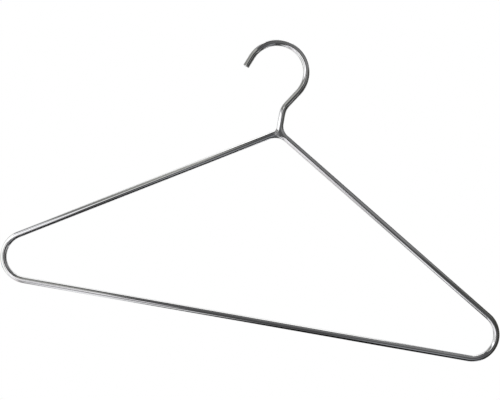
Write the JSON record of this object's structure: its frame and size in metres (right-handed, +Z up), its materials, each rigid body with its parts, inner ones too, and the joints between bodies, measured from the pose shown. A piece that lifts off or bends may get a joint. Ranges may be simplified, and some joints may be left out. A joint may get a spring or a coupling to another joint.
{
  "type": "wire clothes hanger",
  "caption": "Chromed steel rod bent into a rounded triangle for clothes, with a round hook welded to its apex to hang on a rail.",
  "frame": {"origin": "the highest point of the hook's inner side, where the hanger hangs on a rail", "axes": "+Z up, +X along the bar away from the hook's open side, +Y square to the hanger's plane"},
  "size_m": [0.4307, 0.0054, 0.2421],
  "materials": {
    "frame_chrome": "bright plating on drawn steel rod",
    "hook_chrome": "bright plating on drawn steel rod",
    "frame_weld_chrome": "bright plating on ground weld metal, slightly uneven",
    "hook_weld_chrome": "bright plating on ground weld metal, slightly uneven"
  },
  "bodies": {
    "root": {"frame_rod": "frame_chrome", "hook_rod": "hook_chrome", "frame_weld": "frame_weld_chrome", "hook_weld": "hook_weld_chrome"}
  },
  "joints": []
}
